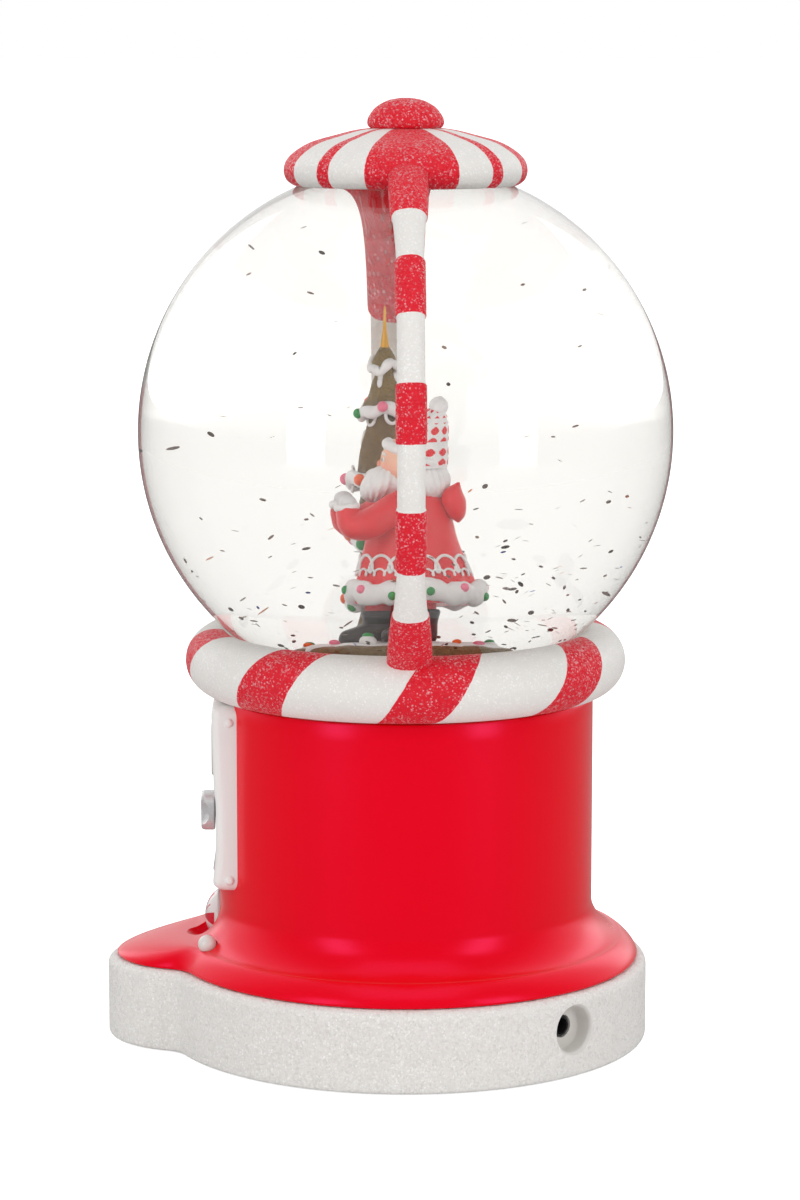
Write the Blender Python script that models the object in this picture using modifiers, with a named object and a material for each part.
"""A Christmas water lantern in the shape of a gumball machine, standing on its feet.

Lengths are in millimetres, and MM turns them into Blender's metres. +Z is up and the front faces -Y.
Everything hangs from an empty on the globe's vertical axis, which stands AXIS_Y behind the origin, so
that the origin is the middle of the footprint. Heights are measured from the table.
"""

import bmesh
import bpy
from math import acos, asin, atan2, cos, hypot, pi, radians, sin, sqrt
from mathutils import Matrix, Vector

MM = 0.001
AXIS_Y = 5.0
GAP = 0.3  # between pieces that touch

# Globe, its neck and the water
GLOBE_R = 75.0
GLOBE_Z = 173.0
GLOBE_WALL = 2.5
NECK_R = 42.0
NECK_BORE_R = 39.6
NECK_BOTTOM_Z = 99.5
WATER_R = 71.4

# Plinth: a circle with a round lobe at the front, joined by fillets
PLINTH_R = 68.8
LOBE_R = 24.5
LOBE_Y = -60.5
FILLET_R = 9.0
PLINTH_BOTTOM_Z = 0.6
PLINTH_TOP_Z = 23.5
PLINTH_WALL = 2.4
LEDGE_WIDTH = 7.0

# Body: flares from the plinth's outline into a cylinder
BODY_R = 53.1
BODY_WALL = 2.0
BODY_INSET = 2.6
FLARE_TOP_Z = 40.0
TRAY_Z = 29.6
BODY_EDGE_Z = 24.3
BODY_TOP_Z = 99.3
DECK_Z = 94.0
DECK_THICK = 2.0
DECK_HOLE_R = 30.0
FLARE_SHARE_SIDE = 0.634  # how far out the flare's hollow curve ends, round the sides
FLARE_SHARE_FRONT = 0.27  # and over the front lobe
EDGE_POWER = 1.35

# Collar, struts and lid
COLLAR_R = 53.0
COLLAR_TUBE_R = 9.14
COLLAR_Z = 108.8
STRUT_CENTRE_R = 79.3
STRUT_HALF_DEPTH = 3.7
STRUT_HALF_WIDTH = 3.7
STRUT_SWEEP = (-48.0, 67.0)  # degrees up from the globe's middle
LID_RIM_R = 33.9
LID_TOP_Z = 257.5
FINIAL_R = 10.7
DOME_Z = 259.6
SPIGOT_R = 3.0
TOP_Z = 266.0

# Front plate and what is on it
PLATE_HALF_WIDTH = 24.0
PLATE_BACK_Y = -51.0
PLATE_CORNER_R = 3.0
# (height, depth) of the plate's front face, from its foot to its top
PLATE_FRONT = (
    (46.4, -52.6), (47.4, -54.1), (50.0, -54.2), (54.5, -53.6), (60.0, -53.4),
    (71.0, -53.4), (76.0, -53.9), (95.7, -54.4), (98.2, -54.1), (99.2, -52.9),
)
KNOB_Z = 65.0
KNOB_R = 5.7
KNOB_BACK_Y = -54.2
KNOB_FRONT_Y = -58.2
SPINDLE_R = 2.0
RING_R = 7.3
COIN_BLOCK = ((-9.0, -54.9, 76.5), (9.0, -52.9, 91.7))
TRIM_HALF_WIDTH = 8.0
TRIM_Z = (48.9, 56.1)
TRIM_BACK_Y = -52.4
RIVET_R = 1.3
RIVET_Y = -49.5
RIVET_ZS = (49.8, 94.5)

# Chute flap and tray
FLAP_R = 7.3
FLAP_Z = 34.6
FLAP_BACK_Y = -52.6
FLAP_FRONT_Y = -57.3
FLAP_HINGE = (0.0, -51.6, 40.3)
PIN_R = 0.65
GUMBALL_R = 2.6
GUMBALL_AT = (22.0, -56.0, 31.2)

# Power jack, at the rear right
JACK_ANGLE = radians(41.4)
JACK_Z = 14.0
JACK_RECESS_R = 6.25
JACK_HOLE_R = 3.2

# Battery bay, its cells and the bottom cover
COVER_BOTTOM_Z = 1.3
COVER_THICK = 2.0
BAY_X = 29.2
BAY_Y = (-15.0, 31.0)
BAY_ROOF_Z = 18.6
BAY_WALL = 1.6
CELL_R = 7.1
CELL_LENGTH = 50.5
CELL_PITCH = 15.2
CELL_MID_Y = 8.0
CELL_Z = 11.0
DOOR_THICK = 1.6
DOOR_HINGE_Y = 29.6
SCREW_ANGLES = (-25, 80, 140, 205)
SCREW_AT_R = 60.5
FOOT_ANGLES = (50, 130, 230, 310)
FOOT_AT_R = 55.0
SWITCH_Y = -45.0
SWITCH_TRAVEL = 4.0

# Drive and lights, and the scene in the water
PLUG_TOP_Z = 111.9
PLUG_WALL = 3.0
MOTOR_R = 12.0
MOTOR_Z = (66.0, 89.6)
BRACKET_Z = (90.0, 91.7)
COUPLER_Z = (102.5, 106.5)
IMPELLER_Z = (114.0, 118.0)
GROUND_R = 27.0
GROUND_TOP_Z = 126.5
TREE_AT = (-13.0, -4.0)
FIGURE_AT = (9.5, 2.0)
SCENE_FOOT_Z = 126.9
TREE_TOP_Z = 190.0
TIP_TOP_Z = 197.5
# (radius of the skirt's edge, its height, radius just under it), from the top tier down
TREE_TIERS = ((3.2, 183.8, 2.2), (5.2, 174.8, 3.4), (7.2, 160.4, 4.4), (6.6, 148.2, 4.4), (7.2, 136.8, 5.0))

FULL_STEPS = 32
SMALL_STEPS = 12


def clear_scene():
    for old in list(bpy.data.objects):
        bpy.data.objects.remove(old, do_unlink=True)


def new_collection(name):
    made = bpy.data.collections.new(name)
    bpy.context.scene.collection.children.link(made)
    return made


def new_material(name, colour, roughness, metallic=0.0, transmission=0.0):
    made = bpy.data.materials.new(name)
    made.use_nodes = True
    shader = made.node_tree.nodes["Principled BSDF"]
    shader.inputs["Base Color"].default_value = (*colour, 1.0)
    shader.inputs["Roughness"].default_value = roughness
    shader.inputs["Metallic"].default_value = metallic
    shader.inputs["Transmission Weight"].default_value = transmission
    return made


clear_scene()
PARTS = new_collection("gumball_machine")
CUTTERS = new_collection("cutters")
GLOBE_AXIS = bpy.data.objects.new("globe_axis", None)
GLOBE_AXIS.location = (0, AXIS_Y * MM, 0)
PARTS.objects.link(GLOBE_AXIS)

FINISHES = {
    name: new_material(name, *look)
    for name, look in {
        "glitter_white": ((0.9, 0.88, 0.86), 0.45),
        "gloss_red": ((0.72, 0.0, 0.02), 0.25),
        "candy_stripe": ((0.93, 0.9, 0.88), 0.4),
        "glitter_red": ((0.7, 0.01, 0.03), 0.4),
        "clear": ((0.98, 0.98, 0.98), 0.02, 0.0, 1.0),
        "water": ((0.98, 0.97, 0.95), 0.0, 0.0, 1.0),
        "plate_white": ((0.86, 0.84, 0.82), 0.35),
        "silver": ((0.75, 0.75, 0.76), 0.3, 1.0),
        "steel": ((0.6, 0.6, 0.62), 0.35, 1.0),
        "black_plastic": ((0.03, 0.03, 0.03), 0.5),
        "rubber": ((0.05, 0.05, 0.05), 0.8),
        "board_green": ((0.02, 0.2, 0.07), 0.5),
        "gingerbread": ((0.35, 0.16, 0.05), 0.6),
        "gold": ((0.8, 0.6, 0.2), 0.3, 1.0),
        "coat_red": ((0.6, 0.02, 0.02), 0.5),
        "cell_green": ((0.05, 0.3, 0.12), 0.4),
        "wire_red": ((0.5, 0.02, 0.02), 0.5),
    }.items()
}


def add_object(name, mesh, finish, at=(0, 0, 0), turn=(0, 0, 0)):
    """Puts a mesh drawn in millimetres into the scene, turned and then placed from the globe's axis."""
    mesh.transform(Matrix.Scale(MM, 4))
    made = bpy.data.objects.new(name, mesh)
    made.location = Vector(at) * MM
    made.rotation_euler = turn
    made.parent = GLOBE_AXIS
    if finish is None:
        CUTTERS.objects.link(made)
        made.hide_render = True
        made.display_type = "WIRE"
    else:
        mesh.materials.append(FINISHES[finish])
        PARTS.objects.link(made)
    return made


def mesh_from(name, shape):
    """Turns a bmesh into a mesh, shaded smooth except over sharp corners."""
    bmesh.ops.recalc_face_normals(shape, faces=shape.faces)
    mesh = bpy.data.meshes.new(name)
    shape.to_mesh(mesh)
    shape.free()
    mesh.shade_smooth()
    mesh.set_sharp_from_angle(angle=radians(35))
    return mesh


def turned(name, finish, profile, steps=FULL_STEPS, closed=False, at=(0, 0, 0), turn=(0, 0, 0)):
    """Revolves a profile of (radius, height) points, which runs down its outer side, about local Z."""
    mesh = bpy.data.meshes.new(name)
    edges = [(i, i + 1) for i in range(len(profile) - 1)]
    if closed:
        edges.append((len(profile) - 1, 0))
    mesh.from_pydata([(r, 0, z) for r, z in profile], edges, [])
    made = add_object(name, mesh, finish, at, turn)
    screw = made.modifiers.new("revolve", "SCREW")
    screw.steps = steps
    screw.render_steps = steps
    screw.use_merge_vertices = True
    screw.merge_threshold = 0.00001
    return made


def loft(name, finish, rings, ring_closed=False, at=(0, 0, 0), turn=(0, 0, 0)):
    """Joins rings of equally many points. The last ring meets the first, or both ends get a cap."""
    shape = bmesh.new()
    rows = [[shape.verts.new(point) for point in ring] for ring in rings]
    pairs = list(zip(rows, rows[1:]))
    if ring_closed:
        pairs.append((rows[-1], rows[0]))
    else:
        shape.faces.new(rows[0])
        shape.faces.new(rows[-1])
    for low, high in pairs:
        for i in range(len(low)):
            j = (i + 1) % len(low)
            shape.faces.new((low[i], low[j], high[j], high[i]))
    return add_object(name, mesh_from(name, shape), finish, at, turn)


def box(name, finish, low, high, bevel=0.0, at=(0, 0, 0), turn=(0, 0, 0)):
    shape = bmesh.new()
    bmesh.ops.create_cube(shape, size=1)
    middle = (Vector(low) + Vector(high)) / 2
    side = Vector(high) - Vector(low)
    bmesh.ops.scale(shape, vec=side, verts=shape.verts)
    bmesh.ops.translate(shape, vec=middle, verts=shape.verts)
    made = add_object(name, mesh_from(name, shape), finish, at, turn)
    if bevel:
        rounded = made.modifiers.new("edges", "BEVEL")
        rounded.width = bevel * MM
        rounded.segments = 2
    return made


def rod(name, finish, radius, low, high, steps=SMALL_STEPS, at=(0, 0, 0), turn=(0, 0, 0)):
    """A cylinder along local Z from low to high."""
    shape = bmesh.new()
    bmesh.ops.create_cone(
        shape, cap_ends=True, segments=steps, radius1=radius, radius2=radius, depth=high - low
    )
    bmesh.ops.translate(shape, vec=(0, 0, (low + high) / 2), verts=shape.verts)
    return add_object(name, mesh_from(name, shape), finish, at, turn)


def ball(name, finish, radius, at, segments=SMALL_STEPS):
    shape = bmesh.new()
    bmesh.ops.create_uvsphere(shape, u_segments=segments, v_segments=segments // 2, radius=radius)
    return add_object(name, mesh_from(name, shape), finish, at)


def boolean(target, other, operation):
    step = target.modifiers.new(other.name, "BOOLEAN")
    step.operation = operation
    step.object = other


def cut(target, *cutters):
    for cutter in cutters:
        boolean(target, cutter, "DIFFERENCE")


def join(target, *pieces):
    for piece in pieces:
        boolean(target, piece, "UNION")


def wire(name, radius, route):
    """A lead along a smooth curve through the route's own points."""
    points = []
    ends = [route[0]] + list(route) + [route[-1]]
    for before, start, end, after in zip(ends, ends[1:], ends[2:], ends[3:]):
        a, b, c, d = (Vector(p) for p in (before, start, end, after))
        for k in range(3):
            t = k / 3
            smooth = b + t * (c - a) / 2 + t * t * (2 * a - 5 * b + 4 * c - d) / 2
            points.append(smooth + t * t * t * (3 * b - a - 3 * c + d) / 2)
    points.append(Vector(route[-1]))
    curve = bpy.data.curves.new(name, "CURVE")
    curve.dimensions = "3D"
    spline = curve.splines.new("POLY")
    spline.points.add(len(points) - 1)
    for spot, point in zip(spline.points, points):
        spot.co = (*(point * MM), 1)
    curve.bevel_depth = radius * MM
    curve.bevel_resolution = 1
    curve.use_fill_caps = True
    curve.materials.append(FINISHES["wire_red"])
    made = bpy.data.objects.new(name, curve)
    made.parent = GLOBE_AXIS
    PARTS.objects.link(made)


def arc(middle, radius, start, end, count):
    """Points (x, y) on an arc, angles in radians, both ends included."""
    spread = [start + (end - start) * k / (count - 1) for k in range(count)]
    return [(middle[0] + radius * cos(a), middle[1] + radius * sin(a)) for a in spread]


FORWARD = (radians(90), 0, 0)  # turns local +Z to face -Y


def lobed_outline(inset):
    """The plinth's outline moved inwards: the circle, a fillet, the lobe and the other fillet."""
    big = PLINTH_R + FILLET_R
    small = LOBE_R + FILLET_R
    reach = -LOBE_Y
    fillet_y = -(reach * reach + big * big - small * small) / (2 * reach)
    fillet_x = sqrt(big * big - fillet_y * fillet_y)
    on_circle = atan2(fillet_y, fillet_x)
    on_lobe = atan2(fillet_y - LOBE_Y, fillet_x)
    circle = arc((0, 0), PLINTH_R - inset, on_circle, pi - on_circle, 33)
    lobe = arc((0, LOBE_Y), LOBE_R - inset, -pi - on_lobe, on_lobe, 11)
    hollow = FILLET_R + inset
    left = arc((-fillet_x, fillet_y), hollow, -on_circle, -on_lobe, 4)
    right = arc((fillet_x, fillet_y), hollow, on_lobe + pi, on_circle + pi, 4)
    return circle + left[1:-1] + lobe + right[1:-1]


def at_height(outline, z):
    return [(x, y, z) for x, y in outline]


def make_plinth():
    top = PLINTH_TOP_Z
    under = top - PLINTH_WALL
    rings = [at_height(lobed_outline(0), PLINTH_BOTTOM_Z)]
    for turn_deg in (0, 45, 90):
        a = radians(turn_deg)
        rings.append(at_height(lobed_outline(2.5 * (1 - cos(a))), top - 2.5 * (1 - sin(a))))
    for inset, z in ((LEDGE_WIDTH, top), (LEDGE_WIDTH, under), (PLINTH_WALL, under)):
        rings.append(at_height(lobed_outline(inset), z))
    rings.append(at_height(lobed_outline(PLINTH_WALL), PLINTH_BOTTOM_Z))
    plinth = loft("base_plinth", "glitter_white", rings, ring_closed=True)
    outwards = (0, radians(90), JACK_ANGLE)
    high = (0, 0, JACK_Z)
    join(plinth, rod("jack_boss", None, 8.0, 62.0, 67.4, 24, high, outwards))
    for number, angle in enumerate(SCREW_ANGLES, 1):
        x = SCREW_AT_R * cos(radians(angle))
        y = SCREW_AT_R * sin(radians(angle))
        join(plinth, rod(f"screw_boss_{number}", None, 3.6, 4.0, under + 1, 12, (x, y, 0)))
        cut(plinth, rod(f"screw_bore_{number}", None, 1.4, 0.0, under - 3, 12, (x, y, 0)))
    cut(plinth, rod("jack_recess", None, JACK_RECESS_R, 63.6, 74.0, 24, high, outwards))
    cut(plinth, rod("jack_hole", None, JACK_HOLE_R, 58.0, 74.0, 16, high, outwards))


def flare_ring(share_of_sides, share_of_front, radius, inset, z):
    """A ring between the body's circle and its foot outline, the front lobe blending on its own."""
    foot = lobed_outline(inset)
    tip = -LOBE_Y + LOBE_R - inset
    ring = []
    for x, y in foot:
        reach = hypot(x, y)
        front = min(1, max(0, (reach - PLINTH_R + inset) / (tip - PLINTH_R + inset)))
        share = share_of_sides + (share_of_front - share_of_sides) * front
        length = radius + share * (reach - radius)
        ring.append((x / reach * length, y / reach * length, z))
    return ring


def body_skin(radius, inset, drop, hollow_steps, edge_steps):
    """Rings down one skin of the body, from the cylinder through the flare to the foot's edge."""
    rings = []
    for k in range(hollow_steps + 1):
        a = radians(90) * (1 - k / hollow_steps)
        side = FLARE_SHARE_SIDE * (1 - sin(a))
        front = FLARE_SHARE_FRONT * (1 - sin(a))
        z = FLARE_TOP_Z - (FLARE_TOP_Z - TRAY_Z + drop) * cos(a)
        rings.append(flare_ring(side, front, radius, inset, z))
    top = TRAY_Z - drop
    low = BODY_EDGE_Z if drop == 0 else PLINTH_TOP_Z + GAP
    for k in range(1, edge_steps + 1):
        b = radians(90) * k / edge_steps
        out = sin(b) ** EDGE_POWER
        side = FLARE_SHARE_SIDE + (1 - FLARE_SHARE_SIDE) * out
        front = FLARE_SHARE_FRONT + (1 - FLARE_SHARE_FRONT) * out
        z = low + (top - low) * max(0, cos(b)) ** EDGE_POWER
        rings.append(flare_ring(side, front, radius, inset, z))
    return rings


def make_body():
    inner = BODY_R - BODY_WALL

    def round_ring(radius, z):
        return flare_ring(0, 0, radius, BODY_INSET, z)

    rings = [round_ring(BODY_R, BODY_TOP_Z)]
    rings += body_skin(BODY_R, BODY_INSET, 0, 4, 4)
    rings.append(flare_ring(1, 1, BODY_R, BODY_INSET, PLINTH_TOP_Z + GAP))
    rings += body_skin(inner, BODY_INSET + BODY_WALL, BODY_WALL, 2, 2)[::-1]
    rings += [round_ring(inner, DECK_Z - DECK_THICK), round_ring(DECK_HOLE_R, DECK_Z - DECK_THICK)]
    rings += [round_ring(DECK_HOLE_R, DECK_Z), round_ring(inner, DECK_Z), round_ring(inner, BODY_TOP_Z)]
    body = loft("body_shell", "gloss_red", rings, ring_closed=True)
    pocket = box("plate_pocket", None, (-16.2, -60, 46.1), (16.2, -50.7, 101))
    clear_r = FLAP_R + 0.6
    cup = arc((0, 56.5), clear_r, pi / 2, 0, 7)
    cup += [(clear_r, 49.0), (0, 49.0)]
    chute = turned("chute_bore", None, cup, 24, at=(0, 0, FLAP_Z), turn=FORWARD)
    sideways = (0, radians(90), 0)
    pin_hole = rod("pin_hole", None, PIN_R + GAP, -9.0, 9.0, 12, FLAP_HINGE, sideways)
    dimple = ball("gumball_dimple", None, GUMBALL_R + GAP, GUMBALL_AT)
    # Room above the pin for the flap's top edge, which swings inwards as the flap opens.
    notch = box("hinge_notch", None, (-5.3, -58, 38.5), (5.3, -49, 43.6))
    cut(body, pocket, chute, pin_hole, notch, dimple)


def globe_profile(radius, neck_r, above, below):
    """Down the sphere from its top to the neck, with this many steps above and below its equator."""
    last = pi - asin(neck_r / radius)
    angles = [pi / 2 * k / above for k in range(above)]
    angles += [pi / 2 + (last - pi / 2) * k / below for k in range(below + 1)]
    return [(radius * sin(a), GLOBE_Z + radius * cos(a)) for a in angles]


def make_globe():
    outside = globe_profile(GLOBE_R, NECK_R, 8, 5)
    inside = globe_profile(GLOBE_R - GLOBE_WALL, NECK_BORE_R, 7, 4)
    neck = [(NECK_R, NECK_BOTTOM_Z), (NECK_BORE_R, NECK_BOTTOM_Z)]
    turned("glass_globe", "clear", outside + neck + inside[::-1])
    cavity = [(30.6, PLUG_TOP_Z + GAP), (30.6, 182), (18, 186), (18, 199), (0, 199)]
    skin = globe_profile(WATER_R, NECK_BORE_R - GAP, 6, 4)
    skin += [(NECK_BORE_R - 2 * GAP, PLUG_TOP_Z + GAP)] + cavity
    turned("water_fill", "water", skin, 24)


def make_plug():
    flange_low = DECK_Z + GAP
    flange_top = flange_low + 3.4
    body_r = NECK_BORE_R - GAP
    bore = NECK_BORE_R - GAP - PLUG_WALL
    ceiling = PLUG_TOP_Z - PLUG_WALL
    profile = [(0, PLUG_TOP_Z), (body_r, PLUG_TOP_Z), (body_r, flange_top), (NECK_R, flange_top)]
    profile += [(NECK_R, flange_low), (bore, flange_low), (bore, ceiling), (0, ceiling)]
    turned("globe_plug", "clear", profile, FULL_STEPS)
    seal = [(NECK_R, NECK_BOTTOM_Z - GAP), (NECK_R, flange_top + GAP)]
    seal += [(NECK_BORE_R + 0.1, flange_top + GAP), (NECK_BORE_R + 0.1, NECK_BOTTOM_Z - GAP)]
    turned("plug_seal", "rubber", seal, 24, closed=True)


def make_collar():
    """A ring of round section, flattened where it seats on the globe."""
    seat_r = GLOBE_R + 0.6
    across = hypot(COLLAR_R, GLOBE_Z - COLLAR_Z)
    towards = atan2(GLOBE_Z - COLLAR_Z, -COLLAR_R)
    reach = (COLLAR_TUBE_R**2 - seat_r**2 + across**2) / (2 * across)
    half = acos(reach / COLLAR_TUBE_R)
    section = arc((COLLAR_R, COLLAR_Z), COLLAR_TUBE_R, towards - half, towards + half - 2 * pi, 13)
    turned("ring_collar", "candy_stripe", section, FULL_STEPS, closed=True)


def ease(value):
    """0 to 1, with a level start and end."""
    value = min(1, max(0, value))
    return value * value * (3 - 2 * value)


def make_struts():
    """Two ribs over the globe, wider at the collar and at the lid, cut to meet both."""
    low, high = STRUT_SWEEP
    count = 17
    rings = []
    for k in range(count):
        up = low + (high - low) * k / (count - 1)
        wide = STRUT_HALF_WIDTH + 2.0 * ease((-20 - up) / 24) + 1.3 * ease((up - 40) / 20)
        a = radians(up)
        ring = []
        for m in range(8):
            b = 2 * pi * m / 8
            reach = STRUT_CENTRE_R + STRUT_HALF_DEPTH * cos(b)
            ring.append((reach * cos(a), wide * sin(b), GLOBE_Z + reach * sin(a)))
        rings.append(ring)
    section = arc((COLLAR_R, COLLAR_Z), COLLAR_TUBE_R + 0.4, pi / 2, -3 * pi / 2, 21)[:-1]
    collar_space = turned("collar_space", None, section, FULL_STEPS, closed=True)
    grown = [(r + 0.45, z) for r, z in lid_outside()]
    lid_space = turned("lid_space", None, [(0, 262)] + grown + [(30, 240.5), (0, 240.5)])
    for side, turn in (("right", 0), ("left", pi)):
        strut = loft(f"strut_{side}", "candy_stripe", rings, turn=(0, 0, turn))
        cut(strut, collar_space, lid_space)


def lid_outside():
    """The lid's outer profile, from the knob's seat down to its rim."""
    return [
        (FINIAL_R, LID_TOP_Z), (19.3, 255.8), (26.0, 254.1), (30.4, 251.4), (33.1, 249.2),
        (LID_RIM_R, 246.1), (33.3, 243.5), (32.0, 242.4),
    ]


def make_lid():
    hole = SPIGOT_R + GAP
    inside = [(30.5, 241.95), (29.2, 243.0), (28.4, 248.8), (24.5, 251.6), (hole, 255.2)]
    profile = [(hole, LID_TOP_Z)] + lid_outside() + inside
    turned("lid_cap", "candy_stripe", profile, FULL_STEPS, closed=True)
    dome = arc((0, 0), 1, pi / 2, 0, 6)
    profile = [(FINIAL_R * x, DOME_Z + (TOP_Z - DOME_Z) * y) for x, y in dome]
    profile += [(10.4, 258.2), (9.9, LID_TOP_Z + GAP), (SPIGOT_R, LID_TOP_Z + GAP)]
    profile += [(SPIGOT_R, 255.6), (0, 255.6)]
    turned("lid_finial", "glitter_red", profile, 16)


def plate_front(z):
    """The plate's front depth at a height, between the points of its profile."""
    for (low, y_low), (high, y_high) in zip(PLATE_FRONT, PLATE_FRONT[1:]):
        if low <= z <= high:
            return y_low + (y_high - y_low) * (z - low) / (high - low)
    raise ValueError(z)


def plate_section(z, front, half):
    """The plate's outline at one height: a hollow back on the body, and rounded front corners."""
    back_r = BODY_R + 0.4
    flat_x = sqrt(back_r**2 - PLATE_BACK_Y**2)
    back = [(x, -sqrt(back_r**2 - x * x)) for x in (half, (half + flat_x) / 2, flat_x)]
    corner = arc((half - PLATE_CORNER_R, front + PLATE_CORNER_R), PLATE_CORNER_R, -pi / 2, 0, 4)
    right = corner + back
    left = [(-x, y) for x, y in reversed(right)]
    return at_height(right + left, z)


def make_plate():
    foot = PLATE_FRONT[0][0]
    top = PLATE_FRONT[-1][0]
    rings = []
    for z, front in PLATE_FRONT:
        near_end = max(0, 1 - min(z - foot, top - z) / PLATE_CORNER_R)
        half = PLATE_HALF_WIDTH - PLATE_CORNER_R * (1 - sqrt(1 - near_end**2)) * 0.8
        rings.append(plate_section(z, front, half))
    plate = loft("front_plate", "plate_white", rings)
    low, high = COIN_BLOCK
    coin_pocket = box(
        "coin_pocket", None, (low[0] - GAP, -60, low[2] - GAP), (high[0] + GAP, high[1] + GAP, high[2] + GAP)
    )
    half = TRIM_HALF_WIDTH + GAP
    trim_pocket = box("trim_pocket", None, (-half, -60, TRIM_Z[0] - GAP), (half, TRIM_BACK_Y, TRIM_Z[1] + GAP))
    knob_at = (0, 0, KNOB_Z)
    ring_pocket = rod("ring_pocket", None, RING_R + GAP, 52.3, 60, 24, knob_at, FORWARD)
    spindle_hole = rod("spindle_hole", None, SPINDLE_R + GAP, 45, 60, 16, knob_at, FORWARD)
    cut(plate, coin_pocket, trim_pocket, ring_pocket, spindle_hole)
    coin = box("coin_slot_block", "silver", low, high, 0.5)
    cut(coin, box("coin_slot", None, (-0.9, -60, 78.6), (0.9, -53.6, 89.6)))
    rings = []
    for z in TRIM_Z:
        front = plate_front(z) - 0.4
        back = TRIM_BACK_Y - GAP
        side = TRIM_HALF_WIDTH
        rings.append([(-side, back, z), (side, back, z), (side, front, z), (-side, front, z)])
    loft("plate_trim", "silver", rings)
    rivet = [(0, 0.9), (0.7, 0.8), (1.15, 0.45), (RIVET_R, 0), (0, 0)]
    number = 0
    for side in (1, -1):
        for z in RIVET_ZS:
            number += 1
            at = (side * (PLATE_HALF_WIDTH + GAP), RIVET_Y, z)
            turned(f"rivet_{number}", "plate_white", rivet, 12, at=at, turn=(0, side * pi / 2, 0))


def make_knob():
    """The knob turns with its spindle on an axis along Y, through the ring and the plate."""
    at = (0, 0, KNOB_Z)
    ring = [(SPINDLE_R + GAP, 53.8), (6.6, 53.8), (RING_R, 53.4), (RING_R, 52.6), (SPINDLE_R + GAP, 52.6)]
    turned("knob_escutcheon", "silver", ring, 16, closed=True, at=at, turn=FORWARD)
    middle = (KNOB_BACK_Y + KNOB_FRONT_Y) / 2
    half = (KNOB_BACK_Y - KNOB_FRONT_Y) / 2
    dome = [(0, half), (3.2, half - 0.1), (4.7, half - 0.5), (5.4, half - 1.2), (KNOB_R, half - 2.2)]
    dome += [(KNOB_R, -half + 0.3), (KNOB_R - 0.3, -half), (0, -half)]
    at_middle = (0, middle, KNOB_Z)
    knob = turned("turn_knob", "silver", dome, 16, at=at_middle, turn=FORWARD)
    bore = rod("knob_bore", None, SPINDLE_R + GAP, 50.0, 56.9, 16, at, FORWARD)
    cut(knob, bore)
    for side in (1, -1):
        scoop_at = (side * 5.6, KNOB_FRONT_Y - 1.6, KNOB_Z)
        cut(knob, ball(f"knob_scoop_{side + 1}", None, 4.2, scoop_at))
    rod("knob_spindle", "steel", SPINDLE_R, -9.4, 2.6, 16, (0, middle + 2.0, KNOB_Z), FORWARD)
    clip = [(SPINDLE_R + GAP, 50.4), (4.2, 50.4), (4.2, 49.4), (SPINDLE_R + GAP, 49.4)]
    turned("spindle_clip", "steel", clip, 16, closed=True, at=at, turn=FORWARD)


def make_flap():
    """A domed flap that hangs from a pin across the top of the chute."""
    hinge = Vector(FLAP_HINGE)
    rise = FLAP_BACK_Y - FLAP_FRONT_Y
    dome_r = (FLAP_R**2 + (rise - 1) ** 2) / (2 * (rise - 1))
    spread = asin(FLAP_R / dome_r)
    dome = [
        (dome_r * sin(spread * k / 6), rise - dome_r * (1 - cos(spread * k / 6))) for k in range(7)
    ]
    profile = dome + [(FLAP_R, 0), (0, 0)]
    # The dome is drawn from the pin, so that the flap's origin is on its hinge.
    shell = turned("flap_dome", None, profile, 20, at=(0, FLAP_BACK_Y, FLAP_Z), turn=FORWARD)
    flap = rod("chute_flap", "candy_stripe", 1.2, -3.2, 3.2, 12, hinge, (0, radians(90), 0))
    join(flap, shell)
    sideways = (0, radians(90), 0)
    cut(flap, rod("flap_bore", None, PIN_R + GAP, -5, 5, 12, hinge, sideways))
    rod("flap_pin", "steel", PIN_R, -8.5, 8.5, 12, hinge, sideways)
    ball("tray_gumball", "plate_white", GUMBALL_R, GUMBALL_AT)


def make_jack():
    """A barrel socket on its side, facing out of the recess."""
    at = (0, 0, JACK_Z)
    outwards = (0, radians(90), JACK_ANGLE)
    nose = JACK_HOLE_R - GAP
    profile = [(2.4, 63.2), (nose, 63.2), (nose, 61.7), (5.5, 61.7), (5.5, 50.0), (0, 50.0)]
    profile += [(0, 61.0), (0.7, 60.6), (0.9, 60.0), (0.9, 53.0), (2.4, 53.0)]
    turned("dc_jack", "black_plastic", profile, 12, True, at, outwards)


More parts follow.
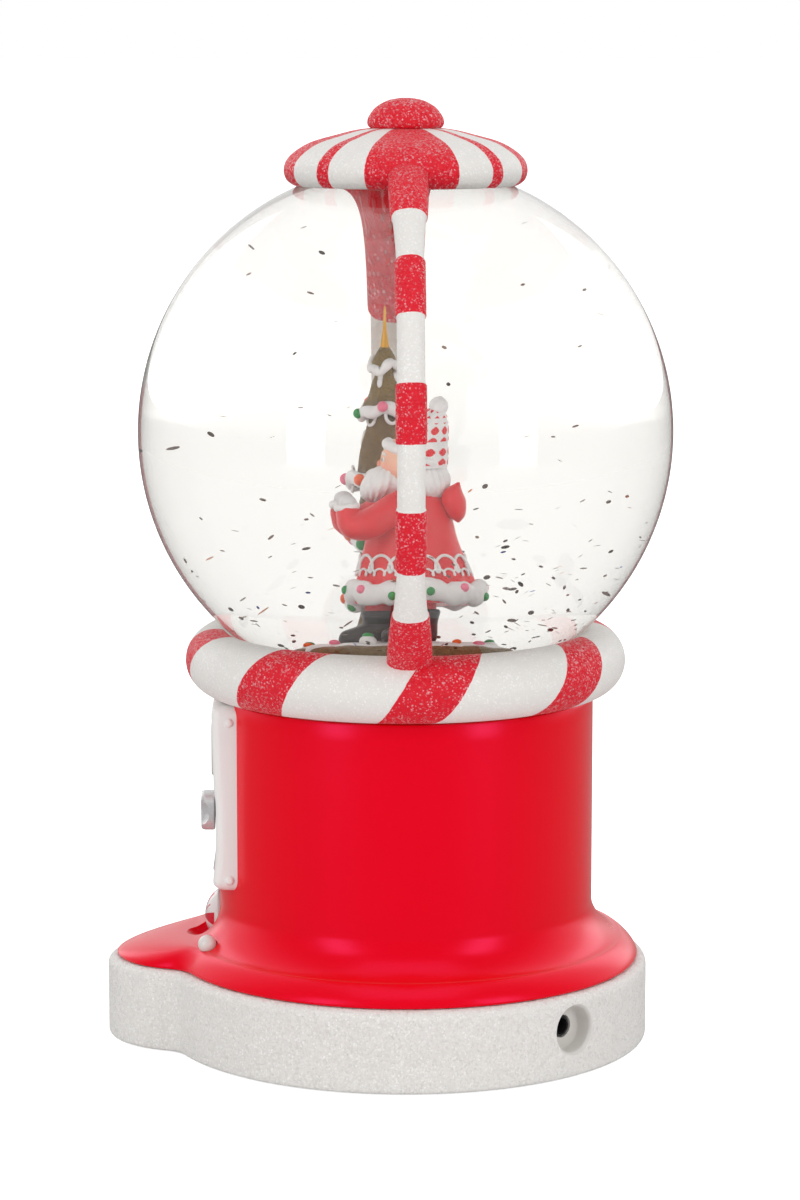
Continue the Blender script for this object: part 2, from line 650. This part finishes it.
def make_cover():
    """The bottom cover carries the battery bay, and screws up into the plinth."""
    top = COVER_BOTTOM_Z + COVER_THICK
    inset = PLINTH_WALL + 0.4
    rings = [at_height(lobed_outline(inset), z) for z in (COVER_BOTTOM_Z, top)]
    cover = loft("bottom_cover", "black_plastic", rings)
    wall = BAY_WALL
    low = (-BAY_X - wall, BAY_Y[0] - wall, COVER_BOTTOM_Z + 0.5)
    high = (BAY_X + wall, BAY_Y[1] + wall, BAY_ROOF_Z + wall)
    join(cover, box("bay_outside", None, low, high))
    cut(cover, box("bay_inside", None, (-BAY_X, BAY_Y[0], -1), (BAY_X, BAY_Y[1], BAY_ROOF_Z)))
    cut(cover, box("switch_slot", None, (-5, SWITCH_Y - 1.8, 0), (5, SWITCH_Y + 1.8, 5)))
    for number, angle in enumerate(SCREW_ANGLES, 1):
        x = SCREW_AT_R * cos(radians(angle))
        y = SCREW_AT_R * sin(radians(angle))
        cut(cover, rod(f"cover_hole_{number}", None, 1.5, 0, 5, 12, (x, y, 0)))
        profile = [(0, 18.0), (1.1, 17.0), (1.1, 1.0), (2.8, 1.0), (2.8, 0.6), (2.2, 0.3), (0, 0.3)]
        turned(f"cover_screw_{number}", "steel", profile, 8, at=(x, y, 0))
    for number, angle in enumerate(FOOT_ANGLES, 1):
        x = FOOT_AT_R * cos(radians(angle))
        y = FOOT_AT_R * sin(radians(angle))
        profile = [(0, 1.1), (4.6, 1.1), (4.6, 0.4), (4.2, 0), (0, 0)]
        turned(f"foot_{number}", "rubber", profile, 12, at=(x, y, 0))


def make_batteries():
    low_y = BAY_Y[0] + GAP - DOOR_HINGE_Y
    high_y = BAY_Y[1] - GAP - DOOR_HINGE_Y
    hinge_z = COVER_BOTTOM_Z + DOOR_THICK / 2
    half = DOOR_THICK / 2
    hinge = (0, DOOR_HINGE_Y, hinge_z)
    box("battery_door", "black_plastic", (GAP - BAY_X, low_y, -half), (BAY_X - GAP, high_y, half), at=hinge)
    for number in range(3):
        y = CELL_MID_Y + (number - 1) * CELL_PITCH
        flip = -1 if number % 2 else 1
        end = CELL_LENGTH / 2
        profile = [(0, end), (2.6, end), (2.6, end - 1.4), (6.6, end - 1.4), (CELL_R, end - 1.9)]
        profile += [(CELL_R, 0.5 - end), (6.6, -end), (0, -end)]
        lie = (0, flip * radians(90), 0)
        turned(f"battery_{number + 1}", "cell_green", profile, 12, at=(0, y, CELL_Z), turn=lie)
    for side, sign in (("right", 1), ("left", -1)):
        outer = sorted((sign * 28.9, sign * 28.2))
        plate = box(
            f"battery_contact_{side}", "steel", (outer[0], BAY_Y[0] + 1, 5), (outer[1], BAY_Y[1] - 1, 17)
        )
        for number in range(3):
            y = CELL_MID_Y + (number - 1) * CELL_PITCH
            point = rod(
                f"contact_bump_{side}_{number}", None, 2.4, 25.7, 28.5, 8,
                (0, y, CELL_Z), (0, sign * radians(90), 0),
            )
            join(plate, point)


def make_electrics():
    middle = COVER_BOTTOM_Z + COVER_THICK + 0.5
    box("switch_body", "black_plastic", (-7, SWITCH_Y - 3, middle), (7, SWITCH_Y + 3, middle + 6))
    travel = SWITCH_TRAVEL / 2
    box(
        "switch_slider", "plate_white", (-1.4, -1.3, 0.8), (1.4, 1.3, middle - GAP),
        at=(-travel, SWITCH_Y, 0),
    )
    box("control_board", "board_green", (-28, 37, 6), (4, 53, 7.5))
    ring = [(28, 93.5), (28, 92.0), (14, 92.0), (14, 93.5)]
    turned("led_board", "board_green", ring, 16, closed=True)
    bulb = [(0, 99.0), (1.6, 98.5), (2.4, 97.0), (2.4, 93.8), (0, 93.8)]
    for number in range(3):
        angle = radians(30 + 120 * number)
        turned(f"led_{number + 1}", "clear", bulb, 8, at=(21 * cos(angle), 21 * sin(angle), 0))
    jack_x = 48.6 * cos(JACK_ANGLE)
    jack_y = 48.6 * sin(JACK_ANGLE)
    route = [(jack_x, jack_y, 14), (33.4, 34.4, 13), (28, 39, 11), (18, 43, 8), (5.2, 45, 6.8)]
    wire("jack_lead", 0.8, route)
    wire("motor_lead", 0.8, [(-12, 45, 8.6), (-12, 43, 30), (-9, 25, 50), (-4, 6, 62), (-3, 4, 65)])


def make_drive():
    """The motor turns a magnet disc in the dry, and the impeller follows it in the water."""
    low, high = MOTOR_Z
    profile = [(0, high), (9, high), (MOTOR_R, high - 1.5), (MOTOR_R, low), (0, low)]
    turned("drive_motor", "steel", profile, 16)
    bracket = box("motor_bracket", "steel", (-35, -9, BRACKET_Z[0]), (35, 9, BRACKET_Z[1]))
    cut(bracket, rod("shaft_hole", None, 3.5, 85, 95, 16))
    rod("motor_shaft", "steel", 1.0, high + GAP, COUPLER_Z[1] - 0.5, 12)
    disc = [(1.3, COUPLER_Z[1]), (15, COUPLER_Z[1]), (15, COUPLER_Z[0]), (1.3, COUPLER_Z[0])]
    turned("magnet_coupler", "black_plastic", disc, 16, closed=True)
    rod("impeller_axle", "steel", 1.0, PLUG_TOP_Z + GAP, 120.4, 12)
    count = 36
    angles = [2 * pi * k / count for k in range(count)]
    waves = [10.5 + 3.2 * cos(6 * a) for a in angles]
    vane = [(r * cos(a), r * sin(a)) for r, a in zip(waves, angles)]
    bore = [(1.3 * cos(a), 1.3 * sin(a)) for a in angles]
    bottom, top = IMPELLER_Z
    rings = [at_height(vane, bottom), at_height(vane, top), at_height(bore, top), at_height(bore, bottom)]
    loft("impeller", "plate_white", rings, ring_closed=True)


def make_scene():
    """The gingerbread ground over the impeller, with its tree and its figure."""
    foot = PLUG_TOP_Z + GAP
    profile = [(0, GROUND_TOP_Z), (14, 126.3), (21, 125.2), (25.4, 122.4), (GROUND_R, 118), (GROUND_R, foot)]
    profile += [(22, foot), (18, 116), (18, 121.2), (0, 121.6)]
    ground = turned("scene_ground", "gingerbread", profile, 24)
    cut(ground, box("vent_x", None, (-40, -5, 111), (40, 5, 116.5)))
    cut(ground, box("vent_y", None, (-5, -40, 111), (5, 40, 116.5)))
    tiers = [(0, TREE_TOP_Z), (1.2, TREE_TOP_Z)]
    for wide, low, narrow in TREE_TIERS:
        tiers += [(wide, low + 1), (wide - 0.6, low), (narrow, low)]
    tiers += [(5.4, SCENE_FOOT_Z), (0, SCENE_FOOT_Z)]
    turned("gingerbread_tree", "gingerbread", tiers, 16, at=(*TREE_AT, 0))
    low = TREE_TOP_Z + GAP
    tip = [(0, TIP_TOP_Z), (1.4, 191.5), (1.2, low), (0, low)]
    turned("tree_topper", "gold", tip, 10, at=(*TREE_AT, 0))
    figure = [(0, 180.0), (2.6, 179.4), (3.0, 177.6), (3.4, 176.6), (5.6, 171.5), (6.6, 168.0), (6.2, 163.5)]
    figure += [(5.0, 160.8), (8.2, 158.5), (9.4, 154.0), (8.4, 149.0), (9.0, 142.0), (9.4, 134.0), (7.4, 133.0)]
    figure += [(7.0, SCENE_FOOT_Z), (0, SCENE_FOOT_Z)]
    santa = turned("figurine", "coat_red", figure, 16, at=(*FIGURE_AT, 0))
    santa.scale = (0.95, 1.3, 1.0)


make_plinth()
make_body()
make_globe()
make_plug()
make_collar()
make_struts()
make_lid()
make_plate()
make_knob()
make_flap()
make_jack()
make_cover()
make_batteries()
make_electrics()
make_drive()
make_scene()
